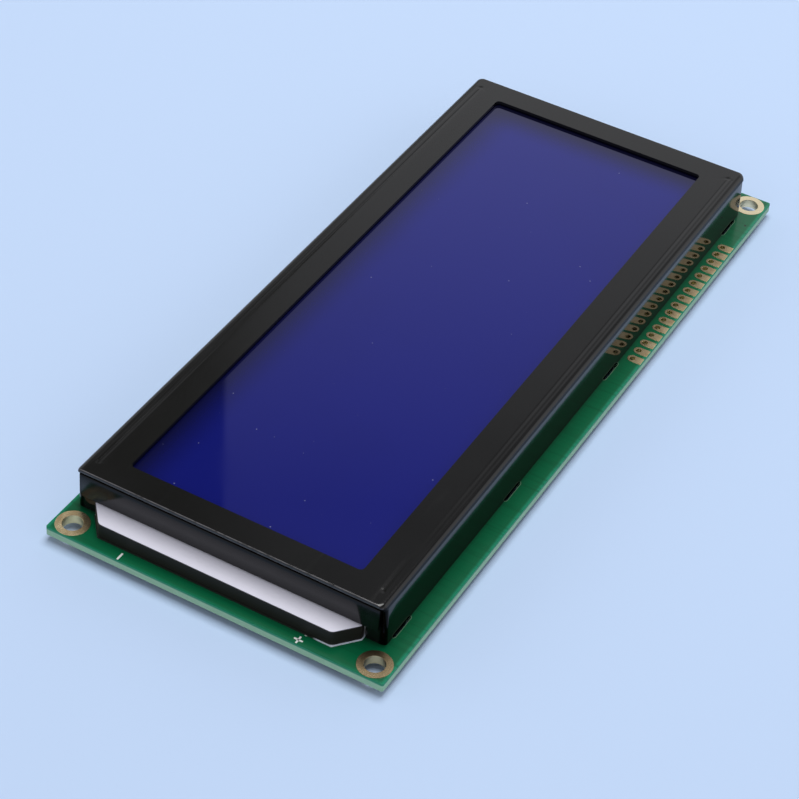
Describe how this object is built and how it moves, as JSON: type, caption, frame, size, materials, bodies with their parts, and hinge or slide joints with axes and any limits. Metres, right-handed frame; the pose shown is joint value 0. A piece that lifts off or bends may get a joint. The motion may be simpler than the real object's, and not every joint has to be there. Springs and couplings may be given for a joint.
{
  "type": "character lcd module",
  "caption": "Character display module: a green circuit board with a black folded metal bezel over a liquid-crystal glass, a side-lit backlight and a row of header pads.",
  "frame": {"origin": "centre of the bounding box's underside, where the bezel's twisted tabs rest on the surface", "axes": "+X along the board towards the backlight's nose, +Y towards the header pads, +Z out of the display's face"},
  "size_m": [0.146, 0.0624, 0.0115],
  "materials": {
    "board": "green solder mask over glass epoxy",
    "plating": "dull gold plating",
    "bezel": "satin black on the face, glossy on the walls",
    "gasket": "matte black foam",
    "front_film": "dark blue polarizing film",
    "glass": "clear",
    "rear_film": "dark blue polarizing film",
    "white_film": "matte white film",
    "connector_rubber": "grey silicone with fine dark layers",
    "tray": "moulded white",
    "light_guide": "clear acrylic",
    "nose_film": "white film",
    "tape": "black tape",
    "led_strip": "white solder mask",
    "diodes": "pale yellow lens in a white body",
    "tinned_metal": "tinned",
    "solder": "bright solder",
    "epoxy": "black epoxy",
    "resistor_body": "black with tinned ends",
    "capacitor_body": "tan with tinned ends"
  },
  "bodies": {
    "root": {"circuit_board": "board", "mounting_lands": "plating", "header_lands": "plating", "metal_bezel": "bezel", "bezel_gasket": "gasket", "front_polarizer": "front_film", "front_glass": "glass", "rear_glass": "glass", "rear_polarizer": "rear_film", "diffuser_sheet": "white_film", "header_side_zebra": "connector_rubber", "plain_side_zebra": "connector_rubber", "reflector_sheet": "white_film", "backlight_tray": "tray", "light_guide": "light_guide", "nose_film": "nose_film", "side_tape": "tape", "led_strip_board": "led_strip", "side_leds": "diodes", "backlight_pins": "tinned_metal", "pin_solder_joints": "solder", "controller_blob": "epoxy", "driver_blobs": "epoxy", "chip_resistors": "resistor_body", "chip_capacitors": "capacitor_body"}
  },
  "joints": []
}
